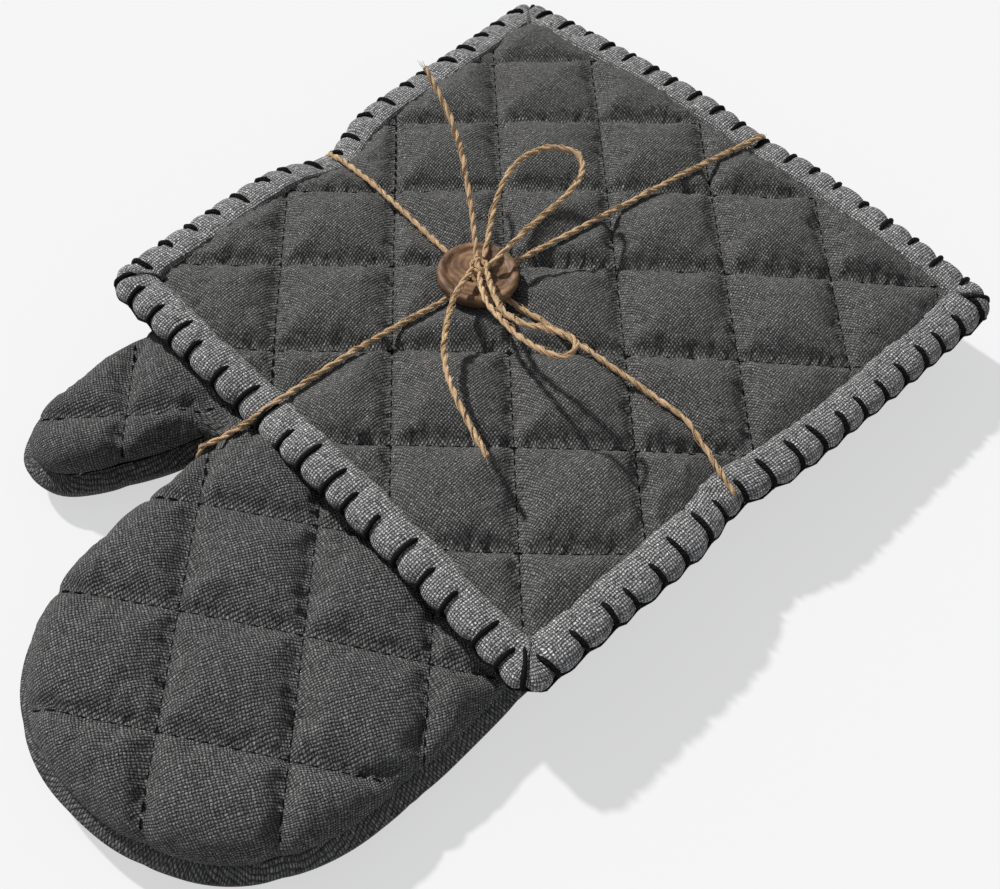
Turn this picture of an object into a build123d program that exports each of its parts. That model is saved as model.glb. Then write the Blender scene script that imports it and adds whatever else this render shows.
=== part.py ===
from build123d import *
import math
import os

# A tied kitchen gift set, in millimetres: a quilted oven mitt lies flat on its palm, a square quilted
# pot holder lies on it, and jute twine ties the two crosswise in a bow over a wooden button.
# +Y runs from the fingertips to the cuff, the thumb is on the -X side and +Z is up.
# The origin is the middle of the footprint, on the surface that the set lies on.

# ---- oven mitt -----------------------------------------------------------------------------------
SEAM_Z = 13.0            # height of the side seam that joins the back half and the palm half
MITT_TOP_Z = 26.0        # highest line of the back, under the pot holder
CROWN_R = 700.0          # the back falls away to both sides on this radius, about an axis along Y
CROWN_TRIM = 1.5         # how much of the back's rounded rim the crown cuts off at its crest
CUFF_Y = 140.0           # end of the cuff
CUFF_BAND = 15.0         # length of the binding around the mouth
CUFF_STITCHED = 130.0    # length of each stitched edge of the mouth
CUFF_MIDDLE = 1.0
COVER = 1.2              # thickness of the outer woven cover
LINING = 1.0             # thickness of the lining
SEAM_ALLOWANCE = 12.0    # width of the closed, padded rim between the outline and the hand space
CAVITY_Z = (9.0, 16.5)   # floor and ceiling of the hand space
EDGE_ROUND = 8.0         # rounding of the upper and lower outer edges
FLEX_GAP = 0.3           # clearance between the solids on the two sides of a flex line
FINGER_FLEX_Y = -84.0    # flex line across the fingers, in front of the pot holder
THUMB_FLEX = ((-110.0, -54.5), (-44.0, -65.5))   # flex line across the root of the thumb

# ---- pot holder ----------------------------------------------------------------------------------
HOLDER_CORNERS = [(-100.0, -45.5), (88.0, -65.0), (106.9, 152.0), (-106.3, 160.7)]
HOLDER_BOTTOM_Z = 26.8   # lowest skin of the holder at its crest, resting on its own stitches
HOLDER_THICK = 9.2
HOLDER_COVER = 1.0
BINDING_WIDTH = 12.0
BINDING_THICK = 1.0
CORNER_R = 8.0

# ---- blanket stitch ------------------------------------------------------------------------------
STITCH_PITCH = 10.5
STITCH_LEG = 9.0
STITCH_THREAD = 1.4
STITCH_PROUD = 0.7       # how far the thread stands out of the pot holder's binding
STITCH_DEPTH = 0.6       # how deep it lies in the cuff's binding

# ---- quilting ------------------------------------------------------------------------------------
HOLDER_QUILT_PITCH = 36.0
HOLDER_QUILT_ANGLE = 43.0
HOLDER_QUILT_ORIGIN = (11.4, 67.9)
MITT_QUILT_PITCH = 35.5
MITT_QUILT_ANGLE = 36.0
MITT_QUILT_ORIGIN = (-21.0, -82.0)
THREAD_WIDTH = 0.8
THREAD_DEPTH = 0.4

# ---- button and twine ----------------------------------------------------------------------------
BUTTON_CENTRE = (-14.3, 28.7)
BUTTON_R = 13.0
BUTTON_Z = (38.2, 42.2)
BUTTON_RIM = 0.8
BUTTON_HOLE_R = 1.25
BUTTON_HOLES = [(-14.9, 24.7), (-13.6, 32.7)]
TWINE_R = 1.0
KNOT_CENTRE = (-14.0, 28.9, 44.0)
HOLE_ARC = 1.1           # and on this one where they turn up into the button's holes
EDGE_ARC = 3.0           # the tight wraps turn round the holder's edge and the mitt's edge on this arc

TALL = 200.0             # longer than anything it cuts


# ---- outlines ------------------------------------------------------------------------------------
def corner_radii(points, limit=None):
    """The radius of the arc at each inner point: as large as its two runs allow, up to a limit."""
    radii = []
    for before, here, after in zip(points, points[1:], points[2:]):
        run_in, run_out = Vector(*here) - Vector(*before), Vector(*after) - Vector(*here)
        half_turn = math.radians(run_in.get_angle(run_out)) / 2
        radius = 0.45 * min(run_in.length, run_out.length) / math.tan(half_turn)
        radii.append(min(radius, limit) if limit else radius)
    return radii


def mitt_outline():
    """Outline of hand and thumb in tangent arcs, running past the cuff so that insets stay open."""
    beyond = CUFF_Y + 40
    fingers = [(79.4, -98), (75.5, -126), (61, -149), (34, -161), (2, -160.5), (-23, -145.5),
               (-36, -119), (-39.6, -92)]
    crotch = [(-41, -72), (-42.2, -66), (-46.8, -66.4), (-49.2, -75)]
    thumb = [(-55.6, -91), (-64, -102), (-77, -102.6), (-86.6, -90), (-89, -68)]
    points = [(76, beyond), (80, -61), *fingers, *crotch, *thumb, (-88, -45), (-72, beyond)]
    contour = FilletPolyline(*points, radius=corner_radii(points))
    face = make_face(Wire([*contour.edges(), Line(points[-1], points[0])]))
    return fillet(face.vertices().group_by(Axis.Y)[-1], 2 * SEAM_ALLOWANCE)


def hand_space_outline():
    """Outline of the space for the hand and the thumb, open past the cuff."""
    beyond = CUFF_Y + 40
    right = [(64, beyond), (68, -61), (66, -108), (58, -130), (42, -143)]
    left = [(24, -147), (4, -144), (-13, -134), (-23.5, -113), (-27.5, -88), (-29, -60)]
    thumb = [(-44, -51), (-56, -70), (-62, -84), (-70, -88.5), (-75, -84), (-76.5, -68), (-76, -45)]
    return make_face(Polyline(*right, *left, *thumb, (-60, beyond), close=True))


def inset(face, distance):
    """The face moved in from its edge by a distance."""
    if distance == 0:
        return face
    return offset(face, amount=-distance, kind=Kind.ARC)


def plate(face, z_low, z_high):
    """The face as a plate between two heights."""
    return extrude(Pos(0, 0, z_low) * face, amount=z_high - z_low)


def crown(z):
    """All that lies under the crowned surface whose crest is at z; such surfaces share one axis."""
    radius = CROWN_R + z - MITT_TOP_Z
    return Pos(0, 0, z - radius) * Rot(90, 0, 0) * Cylinder(radius, 4 * TALL)


def strip_y(y_low, y_high):
    """A block across the whole set between two values of Y."""
    return Pos(0, (y_low + y_high) / 2, 0) * Box(4 * TALL, y_high - y_low, 2 * TALL)


def prism(*corners):
    """An upright block over a polygon, taller than the set."""
    return plate(make_face(Polyline(*corners, close=True)), -TALL, TALL)


def thread_grid(origin, angle, pitch, count, width):
    """Thin upright slabs along both directions of a quilting grid, joined where they cross."""
    bar = Box(4 * TALL, width, 2 * TALL)
    slabs = []
    for turn in (angle, angle + 90):
        for step in range(-count, count + 1):
            slabs.append(Pos(*origin, 0) * Rot(0, 0, turn) * Pos(0, step * pitch, 0) * bar)
    return slabs[0].fuse(*slabs[1:])


def solids_of(shape):
    """The solids of a cut, without the loose faces that a cut can leave."""
    found = shape.solids()
    return found[0] if len(found) == 1 else Compound(found)


# ---- oven mitt -----------------------------------------------------------------------------------
def mitt_shell(distance):
    """The two halves of the mitt's outer form, moved in by a distance: palm half and back half."""
    face = inset(mitt_outline(), distance)
    palm = plate(face, distance, SEAM_Z)
    palm = fillet(palm.edges().group_by(Axis.Z)[0], EDGE_ROUND - distance)
    back = plate(face, SEAM_Z, MITT_TOP_Z + CROWN_TRIM - distance)
    back = fillet(back.edges().group_by(Axis.Z)[-1], EDGE_ROUND - distance)
    return palm, back & crown(MITT_TOP_Z - distance)


def hand_space(skin):
    """The two halves of the space inside, with a skin added all round."""
    face = offset(hand_space_outline(), amount=skin, kind=Kind.INTERSECTION) if skin else hand_space_outline()
    floor, ceiling = CAVITY_Z
    return plate(face, floor - skin, SEAM_Z), plate(face, SEAM_Z, ceiling + skin)


def cuff_pieces(outer, stitch_bed, inner, lined, space):
    """The strip folded over the raw edge of the mouth, and the blanket stitch laid into it."""
    band = strip_y(CUFF_Y - CUFF_BAND, CUFF_Y)
    end = strip_y(CUFF_Y - COVER, CUFF_Y)
    binding = ((outer & band) - inner) + ((lined & band) - space) + ((outer & end) - space)
    legs = []
    count = int(CUFF_STITCHED / STITCH_PITCH)
    for step in range(count):
        x = CUFF_MIDDLE + (step - (count - 1) / 2) * STITCH_PITCH
        legs.append(Pos(x, CUFF_Y - STITCH_LEG / 2, 0) * Box(STITCH_THREAD, STITCH_LEG, 2 * TALL))
    stitches = Compound([s for leg in legs for s in ((outer & leg) - stitch_bed).solids()])
    return solids_of(binding - stitches), stitches


def mitt_nodes():
    """Every layer of the mitt, cut at the flex lines into hand, fingers and thumb."""
    palm, back = zip(mitt_shell(0), mitt_shell(COVER), hand_space(LINING), hand_space(0))
    bed = mitt_shell(STITCH_DEPTH)
    joined = [lower + upper for lower, upper in zip(palm, back)]
    binding, stitches = cuff_pieces(joined[0], bed[0] + bed[1], joined[1], joined[2], joined[3])
    covered = strip_y(-TALL, CUFF_Y - CUFF_BAND)
    filled = strip_y(-TALL, CUFF_Y - COVER)
    layers = {}
    for side, half in (("palm", palm), ("back", back)):
        layers[side + "_cover"] = (half[0] & covered) - half[1]
        layers[side + "_batting"] = (half[1] & filled) - half[2]
        layers[side + "_lining"] = (half[2] & covered) - half[3]
    grid = thread_grid(MITT_QUILT_ORIGIN, MITT_QUILT_ANGLE, MITT_QUILT_PITCH, 8, THREAD_WIDTH)
    quilted = plate(hand_space_outline(), SEAM_Z, 2 * MITT_TOP_Z)
    thread_skin = (quilted & crown(MITT_TOP_Z) & covered) - crown(MITT_TOP_Z - THREAD_DEPTH)
    layers["quilting_thread"] = thread_skin & grid
    layers["back_cover"] = layers["back_cover"] - layers["quilting_thread"]

    far = TALL
    (outer_x, outer_y), (crotch_x, crotch_y) = THUMB_FLEX
    thumb = prism((outer_x, outer_y), (crotch_x, crotch_y), (crotch_x, -far), (outer_x, -far))
    thumb_room = prism((outer_x, outer_y + FLEX_GAP), (crotch_x + FLEX_GAP, crotch_y + FLEX_GAP),
                       (crotch_x + FLEX_GAP, -far), (outer_x, -far))
    fingers = prism((crotch_x, FINGER_FLEX_Y), (far, FINGER_FLEX_Y), (far, -far), (crotch_x, -far))
    fingers_room = prism((crotch_x, FINGER_FLEX_Y + FLEX_GAP), (far, FINGER_FLEX_Y + FLEX_GAP),
                         (far, -far), (crotch_x, -far))
    nodes = {"cuff_binding": binding, "cuff_blanket_stitch": stitches}
    for layer, solid in layers.items():
        nodes["hand_" + layer] = solids_of(solid - thumb_room - fingers_room)
        nodes["fingers_" + layer] = solids_of(solid & fingers)
        nodes["thumb_" + layer] = solids_of(solid & thumb)
    return nodes


# ---- pot holder ----------------------------------------------------------------------------------
def holder_outline():
    face = make_face(Polyline(*HOLDER_CORNERS, close=True))
    return fillet(face.vertices(), CORNER_R)


def crowned_slab(face, z_low, z_high):
    """The face as a slab between two crowned surfaces."""
    return (plate(face, 0, TALL) & crown(z_high)) - crown(z_low)


def edge_bars():
    """Thin upright slabs, one for each leg of the blanket stitch along the four sides."""
    bars = []
    corners = HOLDER_CORNERS + HOLDER_CORNERS[:1]
    for start, end in zip(corners, corners[1:]):
        length = math.dist(start, end)
        angle = math.degrees(math.atan2(end[1] - start[1], end[0] - start[0]))
        count = int((length - 2 * CORNER_R) / STITCH_PITCH)
        first = (length - (count - 1) * STITCH_PITCH) / 2
        bar = Box(STITCH_THREAD, 2 * STITCH_LEG, 2 * TALL)
        for step in range(count):
            along = Pos(first + step * STITCH_PITCH, 0, 0)
            bars.append(Pos(*start, 0) * Rot(0, 0, angle) * along * bar)
    return bars


def holder_nodes():
    """The pot holder: two covers, filling, a folded binding all round and its stitches."""
    low, high = HOLDER_BOTTOM_Z, HOLDER_BOTTOM_Z + HOLDER_THICK
    outline = holder_outline()
    filled = inset(outline, BINDING_THICK)
    window = inset(outline, BINDING_WIDTH)
    body = crowned_slab(outline, low, high)
    batting = crowned_slab(filled, low + HOLDER_COVER, high - HOLDER_COVER)
    top_cover = crowned_slab(window, high - HOLDER_COVER, high)
    back_cover = crowned_slab(window, low, low + HOLDER_COVER)
    binding = body - batting - top_cover - back_cover
    around = crowned_slab(inset(outline, -STITCH_PROUD), low - STITCH_PROUD, high + STITCH_PROUD)
    grid = thread_grid(HOLDER_QUILT_ORIGIN, HOLDER_QUILT_ANGLE, HOLDER_QUILT_PITCH, 5, THREAD_WIDTH)
    quilting = crowned_slab(window, high - THREAD_DEPTH, high) & grid
    stitch_skin = around - body
    return {
        "holder_top_cover": solids_of(top_cover - quilting),
        "holder_batting": batting,
        "holder_back_cover": back_cover,
        "holder_binding": binding,
        "holder_blanket_stitch": Compound([s for bar in edge_bars() for s in (stitch_skin & bar).solids()]),
        "holder_quilting_thread": solids_of(quilting),
    }


# ---- button and twine ----------------------------------------------------------------------------
def button():
    """A turned disc with softened rims and two thread holes."""
    low, high = BUTTON_Z
    disc = Pos(*BUTTON_CENTRE, (low + high) / 2) * Cylinder(BUTTON_R, high - low)
    disc = fillet(disc.edges().filter_by(GeomType.CIRCLE), BUTTON_RIM)
    for x, y in BUTTON_HOLES:
        disc -= Pos(x, y, (low + high) / 2) * Cylinder(BUTTON_HOLE_R, 2 * (high - low))
    return disc


def in_hole(point):
    """Whether a point of a route lies on the axis of one of the button's holes."""
    return any(math.dist(point[:2], hole) < BUTTON_HOLE_R for hole in BUTTON_HOLES)


def twine(name, points, largest=None):
    """A round cord along a route of straight runs joined by arcs."""
    radii = corner_radii(points, largest)
    if largest:
        corners = zip(radii, points[1:])
        radii = [min(radius, HOLE_ARC) if in_hole(here) else radius for radius, here in corners]
    path = FilletPolyline(*points, radius=radii)
    start = Plane(origin=path @ 0, z_dir=path % 0)
    tube = sweep(start * Circle(TWINE_R), path=path)
    expected = math.pi * TWINE_R ** 2 * path.length
    print(f"{name}: length {path.length:.1f}, volume ratio {tube.volume / expected:.4f}, radii",
          [round(radius, 1) for radius in radii])
    return tube



WRAP_LENGTHWISE = [
    (-14.9, 24.7, 42.6), (-14.9, 24.7, 37.1), (-21.5, -12.0, 37.0), (-27.6, -49.0, 36.8),
    (-31.6, -57.2, 30.0), (-42.4, -67.2, 15.0), (-42.9, -68.2, 1.1), (9.0, 134.0, 1.1),
    (10.4, 157.6, 27.0), (10.1, 154.0, 37.0), (-1.6, 94.0, 37.1), (-13.6, 32.7, 37.2),
    (-13.6, 32.7, 42.6),
]
WRAP_CROSSWISE = [
    (-14.3, 29.0, 37.1), (-54.0, 36.5, 35.0), (-99.5, 45.4, 30.4), (-103.6, 46.0, 23.0),
    (-80.0, 43.0, 1.1), (-10.0, 34.6, 3.4), (72.0, 25.0, 1.1), (97.6, 24.0, 23.0),
    (94.0, 24.2, 31.0), (66.2, 33.0, 34.2), (26.0, 31.4, 36.8), (-13.9, 29.0, 37.1),
]
TAIL_UPPER = [
    (-17.0, 30.6, 44.6), (-24.6, 37.6, 48.6), (-33.8, 45.0, 53.0), (-44.0, 52.6, 58.6),
    (-56.5, 58.6, 65.2), (-68.7, 61.9, 71.0),
]
TAIL_LOWER = [
    (-14.4, 25.9, 44.8), (-11.6, 15.8, 46.6), (-5.8, 5.4, 47.2), (1.6, -5.4, 47.6),
    (11.0, -13.7, 48.0), (23.6, -20.6, 48.6), (38.1, -27.2, 49.0),
]
LOOP_UPPER = [
    (-14.8, 31.6, 45.2), (-19.9, 39.8, 47.8), (-25.6, 48.9, 50.4), (-30.0, 59.6, 52.8),
    (-30.2, 69.6, 54.6), (-25.4, 77.2, 55.8), (-17.0, 80.4, 56.2), (-10.4, 74.2, 55.8),
    (-8.6, 64.4, 54.8), (-9.0, 54.4, 53.0), (-10.6, 44.4, 49.8), (-11.8, 31.4, 44.8),
]
LOOP_LOWER = [
    (-10.8, 28.6, 44.8), (-2.6, 21.0, 49.0), (6.4, 14.0, 52.6), (16.8, 10.8, 56.2),
    (27.6, 13.0, 60.6), (37.0, 12.8, 63.4), (38.6, 4.6, 63.4), (29.0, 4.6, 60.0),
    (18.4, 7.0, 56.0), (7.4, 11.9, 51.8), (-2.8, 17.0, 48.0), (-11.9, 26.2, 44.6),
]


def knot():
    """The tight overhand of the bow, a flattened lump standing on the button."""
    x, y, z = KNOT_CENTRE
    lump = Pos(x, y, z) * scale(Sphere(1), (3.6, 3.2, 2.4))
    return lump & Pos(x, y, BUTTON_Z[1] + TALL / 2) * Box(TALL, TALL, TALL)


def twine_nodes():
    return {
        "twine_wrap_lengthwise": twine("wrap lengthwise", WRAP_LENGTHWISE, EDGE_ARC),
        "twine_wrap_crosswise": twine("wrap crosswise", WRAP_CROSSWISE, EDGE_ARC),
        "twine_knot": knot(),
        "twine_tail_upper": twine("tail upper", TAIL_UPPER),
        "twine_tail_lower": twine("tail lower", TAIL_LOWER),
        "twine_bow_loop_upper": twine("bow loop upper", LOOP_UPPER),
        "twine_bow_loop_lower": twine("bow loop lower", LOOP_LOWER),
    }


# ---- build ---------------------------------------------------------------------------------------
nodes = {**mitt_nodes(), **holder_nodes(), "wooden_button": button(), **twine_nodes()}

os.makedirs("parts", exist_ok=True)
for name, shape in nodes.items():
    export_step(shape, f"parts/{name}.step")
whole = Compound(children=[Compound(shape.wrapped) for shape in nodes.values()])
print(len(nodes), "nodes", whole.bounding_box())
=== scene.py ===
"""A quilted oven mitt under a quilted pot holder, tied crosswise with jute twine over a wooden button."""
import math

import bpy
import numpy as np
from mathutils import Matrix, Vector, noise
from mathutils.bvhtree import BVHTree
from mathutils.geometry import delaunay_2d_cdt


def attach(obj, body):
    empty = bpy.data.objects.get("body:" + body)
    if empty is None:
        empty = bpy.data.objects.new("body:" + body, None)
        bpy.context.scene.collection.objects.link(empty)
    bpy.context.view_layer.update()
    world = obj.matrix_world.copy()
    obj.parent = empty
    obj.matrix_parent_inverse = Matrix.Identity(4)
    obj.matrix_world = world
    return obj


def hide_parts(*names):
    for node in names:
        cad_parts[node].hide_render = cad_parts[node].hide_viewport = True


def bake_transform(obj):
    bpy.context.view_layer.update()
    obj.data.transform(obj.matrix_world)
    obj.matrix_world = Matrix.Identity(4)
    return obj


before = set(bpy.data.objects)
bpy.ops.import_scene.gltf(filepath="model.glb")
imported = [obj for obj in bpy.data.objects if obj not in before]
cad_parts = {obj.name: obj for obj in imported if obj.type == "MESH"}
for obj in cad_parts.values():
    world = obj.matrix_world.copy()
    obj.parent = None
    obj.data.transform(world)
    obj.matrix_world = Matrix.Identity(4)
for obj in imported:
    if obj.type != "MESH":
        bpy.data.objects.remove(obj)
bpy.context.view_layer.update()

rng = np.random.default_rng(7)
MM = 0.001               # shapes are worked out in millimetres and written to meshes in metres
SAG = 1400.0             # the set droops to both sides by x squared over this

# ---- camera --------------------------------------------------------------------------------------
camera = bpy.data.objects.new("camera", bpy.data.cameras.new("camera"))
bpy.context.scene.collection.objects.link(camera)
right, down = Vector((0.752, 0.656, 0.065)), Vector((0.556, -0.580, -0.595))
right.normalize()
down = (down - down.project(right)).normalized()
ahead = right.cross(down)
turned = Matrix((right, -down, -ahead)).transposed().to_4x4()
camera.matrix_world = Matrix.Translation((0.1751, -0.2096, 0.36025)) @ turned
camera.data.lens = 50.4
camera.data.sensor_width = 36.0
camera.data.clip_start = 0.01
bpy.context.scene.camera = camera

# ---- twine routes, the same points as the CAD part --------------------------------------------------
TAIL_UPPER = [(-17.0, 30.6, 44.6), (-24.6, 37.6, 48.6), (-33.8, 45.0, 53.0), (-44.0, 52.6, 58.6),
              (-56.5, 58.6, 65.2), (-68.7, 61.9, 71.0)]
TAIL_LOWER = [(-14.4, 25.9, 44.8), (-11.6, 15.8, 46.6), (-5.8, 5.4, 47.2), (1.6, -5.4, 47.6),
              (11.0, -13.7, 48.0), (23.6, -20.6, 48.6), (38.1, -27.2, 49.0)]
LOOP_UPPER = [(-14.8, 31.6, 45.2), (-19.9, 39.8, 47.8), (-25.6, 48.9, 50.4), (-30.0, 59.6, 52.8),
              (-30.2, 69.6, 54.6), (-25.4, 77.2, 55.8), (-17.0, 80.4, 56.2), (-10.4, 74.2, 55.8),
              (-8.6, 64.4, 54.8), (-9.0, 54.4, 53.0), (-10.6, 44.4, 49.8), (-11.8, 31.4, 44.8)]
LOOP_LOWER = [(-10.8, 28.6, 44.8), (-2.6, 21.0, 49.0), (6.4, 14.0, 52.6), (16.8, 10.8, 56.2),
              (27.6, 13.0, 60.6), (37.0, 12.8, 63.4), (38.6, 4.6, 63.4), (29.0, 4.6, 60.0),
              (18.4, 7.0, 56.0), (7.4, 11.9, 51.8), (-2.8, 17.0, 48.0), (-11.9, 26.2, 44.6)]
TWINE_STEP = 0.75        # distance between the cross sections of the twine's mesh
TWIST = 9.5              # length of one turn of the two plies
PLY_R = 0.52
PLY_OFFSET = 0.42


# ---- geometry helpers ------------------------------------------------------------------------------
def smooth(value, low, high):
    """0 below low, 1 above high, and a smooth step between."""
    t = np.clip((np.asarray(value, float) - low) / (high - low), 0, 1)
    return t * t * (3 - 2 * t)


def run_along(points):
    """Distance along a polyline to each of its points."""
    return np.r_[0, np.cumsum(np.linalg.norm(np.diff(points, axis=0), axis=1))]


def left_of(directions):
    """Unit vectors to the left of directions in the plane."""
    left = np.stack([-directions[:, 1], directions[:, 0]], axis=1)
    return left / np.linalg.norm(directions, axis=1)[:, None]


def resample(points, step):
    """The polyline again with points a steady step apart."""
    points = np.asarray(points, float)
    run = run_along(points)
    count = max(2, int(round(run[-1] / step)) + 1)
    at = np.linspace(0, run[-1], count)
    return np.stack([np.interp(at, run, points[:, k]) for k in range(points.shape[1])], axis=1)


def rounded(points, limit, share=0.45):
    """The polyline with an arc at each inner corner, whose tangents are at most limit long."""
    points = [np.asarray(p, float) for p in points]
    line = [points[0]]
    for before, here, after in zip(points, points[1:], points[2:]):
        run_in, run_out = here - before, after - here
        reach = min(limit, share * np.linalg.norm(run_in), share * np.linalg.norm(run_out))
        unit_in, unit_out = run_in / np.linalg.norm(run_in), run_out / np.linalg.norm(run_out)
        half_turn = math.acos(float(np.clip(unit_in @ unit_out, -1, 1))) / 2
        weight = max(0.05, math.cos(half_turn))
        for t in np.linspace(0, 1, 13):
            a, b, c = (1 - t) ** 2, 2 * t * (1 - t) * weight, t * t
            arc = a * (here - unit_in * reach) + b * here + c * (here + unit_out * reach)
            line.append(arc / (a + b + c))
    line.append(points[-1])
    return np.array(line)


def frames(points):
    """Unit tangents and two steady cross directions along a polyline."""
    tangents = np.gradient(points, axis=0)
    tangents /= np.linalg.norm(tangents, axis=1)[:, None] + 1e-12
    across = np.zeros_like(points)
    guess = np.array([0.0, 0.0, 1.0]) if abs(tangents[0][2]) < 0.9 else np.array([1.0, 0.0, 0.0])
    for i, tangent in enumerate(tangents):
        guess = guess - tangent * (guess @ tangent)
        guess /= np.linalg.norm(guess)
        across[i] = guess
    return tangents, across, np.cross(tangents, across)


class Pieces:
    """Vertices, faces and flat coordinates gathered for one mesh."""

    def __init__(self):
        self.points, self.faces, self.flat = [], [], []

    def grid(self, rows, flat, closed_v=False):
        """A sheet of quads from rows[i][j] with flat[i][j] beside it."""
        rows = np.asarray(rows, float)
        base, (n, m) = len(self.points), rows.shape[:2]
        self.points.extend(rows.reshape(-1, 3))
        self.flat.extend(np.asarray(flat, float).reshape(-1, 2))
        for i in range(n - 1):
            for j in range(m if closed_v else m - 1):
                a, b = base + i * m + j, base + i * m + (j + 1) % m
                c, d = base + (i + 1) * m + (j + 1) % m, base + (i + 1) * m + j
                self.faces.append((a, b, c, d))
        return base

    def tube(self, points, radii, sides=7, phase=0.0):
        """A round tube with closed ends along points."""
        points = np.asarray(points, float)
        radii = np.broadcast_to(np.asarray(radii, float), len(points))
        _, across, other = frames(points)
        turn = np.linspace(0, 2 * math.pi, sides, endpoint=False) + phase
        rows = (points[:, None] + radii[:, None, None] * (
            np.cos(turn)[None, :, None] * across[:, None] + np.sin(turn)[None, :, None] * other[:, None]))
        run = run_along(points)
        flat = np.stack(np.broadcast_arrays(run[:, None], (turn / (2 * math.pi) * 3)[None, :]), axis=2)
        base = self.grid(rows, flat, closed_v=True)
        last = base + (len(points) - 1) * sides
        self.faces.append(tuple(base + j for j in range(sides)))
        self.faces.append(tuple(last + j for j in reversed(range(sides))))

    def made(self, name, material, flip=False):
        """The mesh object, in metres."""
        return mesh_object(name, self.points, self.faces, self.flat, material, flip)


def mesh_object(name, points, faces, flat, material, flip=False):
    """A smooth mesh from points in millimetres; flat goes into the UV layer that the materials read."""
    mesh = bpy.data.meshes.new(name)
    if flip:
        faces = [tuple(reversed(face)) for face in faces]
    mesh.from_pydata((np.asarray(points, float) * MM).tolist(), [], [tuple(map(int, f)) for f in faces])
    layer = mesh.uv_layers.new(name="flat")
    corner = np.zeros(len(mesh.loops), int)
    mesh.loops.foreach_get("vertex_index", corner)
    layer.data.foreach_set("uv", np.asarray(flat, np.float32)[corner].ravel())
    mesh.polygons.foreach_set("use_smooth", np.ones(len(mesh.polygons), bool))
    if material:
        mesh.materials.append(material)
    mesh.update()
    made = bpy.data.objects.new(name, mesh)
    bpy.context.scene.collection.objects.link(made)
    return made


def nurbs_line(points):
    """The smooth line that a NURBS curve of order 3 takes through these points, in millimetres."""
    data = bpy.data.curves.new("line", "CURVE")
    data.dimensions, data.resolution_u = "3D", 24
    spline = data.splines.new("NURBS")
    spline.points.add(len(points) - 1)
    for point, place in zip(spline.points, points):
        point.co = (*(value * MM for value in place), 1)
    spline.order_u = 3
    spline.use_endpoint_u = True
    holder = bpy.data.objects.new("line", data)
    bpy.context.scene.collection.objects.link(holder)
    bpy.context.view_layer.update()
    mesh = bpy.data.meshes.new_from_object(holder.evaluated_get(bpy.context.evaluated_depsgraph_get()))
    line = np.array([vertex.co[:] for vertex in mesh.vertices]) / MM
    bpy.data.objects.remove(holder)
    bpy.data.meshes.remove(mesh)
    bpy.data.curves.remove(data)
    return line


# ---- materials -------------------------------------------------------------------------------------
class Nodes:
    """Short calls that add shader nodes and link them."""

    def __init__(self, name):
        self.material = bpy.data.materials.new(name)
        self.material.use_nodes = True
        self.tree = self.material.node_tree
        self.shader = self.tree.nodes["Principled BSDF"]

    def add(self, kind, inputs=None, **settings):
        node = self.tree.nodes.new("ShaderNode" + kind)
        for key, value in settings.items():
            setattr(node, key, value)
        for key, value in (inputs or {}).items():
            if isinstance(value, bpy.types.NodeSocket):
                self.tree.links.new(value, node.inputs[key])
            else:
                node.inputs[key].default_value = value
        return node

    def math(self, operation, a, b=0.0):
        return self.add("Math", {0: a, 1: b}, operation=operation).outputs[0]

    def flat(self):
        return self.add("UVMap", uv_map="flat").outputs[0]

    def noise(self, vector, scale, detail=2.0, rough=0.5, stretch=None):
        if stretch:
            vector = self.add("VectorMath", {0: vector, 1: stretch}, operation="MULTIPLY").outputs[0]
        return self.add("TexNoise", {"Vector": vector, "Scale": scale, "Detail": detail,
                                     "Roughness": rough}).outputs[0]

    def ramp(self, value, stops):
        node = self.add("ValToRGB", {0: value})
        ramp = node.color_ramp
        while len(ramp.elements) < len(stops):
            ramp.elements.new(0.5)
        for element, (position, colour) in zip(ramp.elements, stops):
            element.position, element.color = position, (*colour, 1)
        return node.outputs[0]

    def mix(self, factor, a, b, blend="MIX"):
        node = self.add("Mix", data_type="RGBA", blend_type=blend)
        for index, value in ((0, factor), (6, a), (7, b)):
            if isinstance(value, bpy.types.NodeSocket):
                self.tree.links.new(value, node.inputs[index])
            else:
                node.inputs[index].default_value = value if index == 0 else (*value, 1)
        return node.outputs[2]

    def bump(self, height, distance):
        return self.add("Bump", {"Height": height, "Distance": distance, "Strength": 1.0}).outputs[0]

    def surface(self, colour, roughness, normal=None, sheen=0.0, specular=0.3):
        for key, value in (("Base Color", colour), ("Roughness", roughness), ("Normal", normal)):
            if isinstance(value, bpy.types.NodeSocket):
                self.tree.links.new(value, self.shader.inputs[key])
            elif value is not None:
                self.shader.inputs[key].default_value = (*value, 1) if key == "Base Color" else value
        self.shader.inputs["Sheen Weight"].default_value = sheen
        self.shader.inputs["Sheen Roughness"].default_value = 0.5
        self.shader.inputs["Specular IOR Level"].default_value = specular
        return self.material


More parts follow.
